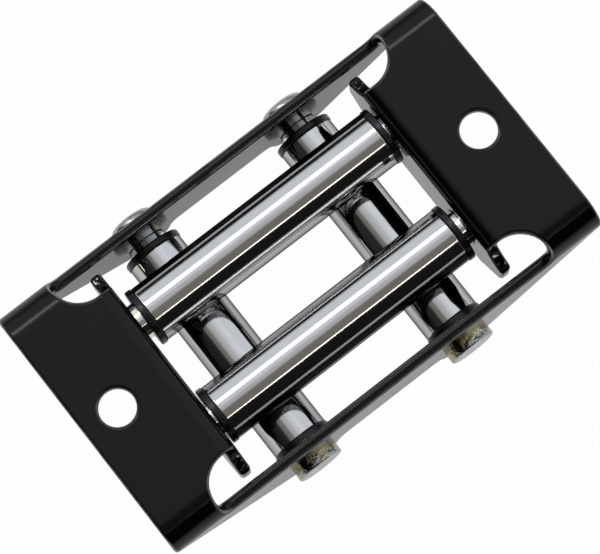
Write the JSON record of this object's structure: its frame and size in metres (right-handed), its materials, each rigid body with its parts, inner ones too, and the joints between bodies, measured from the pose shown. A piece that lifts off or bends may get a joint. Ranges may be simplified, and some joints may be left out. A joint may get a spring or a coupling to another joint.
{
  "type": "roller fairlead",
  "caption": "Roller fairlead: a bent black steel bracket holding long and short chromed rollers on riveted pins around a rope window.",
  "frame": {"origin": "midway between the two mounting holes, on the bracket's bolting face", "axes": "+X along the row of mounting holes, towards the right roller; +Y across it, towards the top roller; +Z out of the bolting face"},
  "size_m": [0.1466, 0.088, 0.0388],
  "materials": {
    "black_coat": "gloss black powder coat over steel plate",
    "roller_chrome": "bright chromed steel tube with fine drawing lines",
    "black_plastic": "satin black moulded plastic",
    "zinc_plate": "bright zinc plate with a faint yellow tint"
  },
  "bodies": {
    "bracket": {"bracket": "black_coat", "top_roller_pin": "zinc_plate", "bottom_roller_pin": "zinc_plate", "left_roller_pin": "zinc_plate", "right_roller_pin": "zinc_plate"},
    "top_roller": {"top_roller_tube": "roller_chrome", "top_roller_bushing_left": "black_plastic", "top_roller_bushing_right": "black_plastic"},
    "bottom_roller": {"bottom_roller_tube": "roller_chrome", "bottom_roller_bushing_left": "black_plastic", "bottom_roller_bushing_right": "black_plastic"},
    "left_roller": {"left_roller_tube": "roller_chrome", "left_roller_bushing_bottom": "black_plastic", "left_roller_bushing_top": "black_plastic"},
    "right_roller": {"right_roller_tube": "roller_chrome", "right_roller_bushing_bottom": "black_plastic", "right_roller_bushing_top": "black_plastic"}
  },
  "joints": [
    {"name": "top_roller_spin", "type": "hinge", "parent": "bracket", "child": "top_roller", "pos_m": [0, 0.0167, -0.0115], "axis": [1, 0, 0], "continuous": true},
    {"name": "bottom_roller_spin", "type": "hinge", "parent": "bracket", "child": "bottom_roller", "pos_m": [0, -0.0167, -0.0115], "axis": [1, 0, 0], "continuous": true},
    {"name": "left_roller_spin", "type": "hinge", "parent": "bracket", "child": "left_roller", "pos_m": [-0.0267, 0, -0.0295], "axis": [0, 1, 0], "continuous": true},
    {"name": "right_roller_spin", "type": "hinge", "parent": "bracket", "child": "right_roller", "pos_m": [0.0267, 0, -0.0295], "axis": [0, 1, 0], "continuous": true}
  ]
}
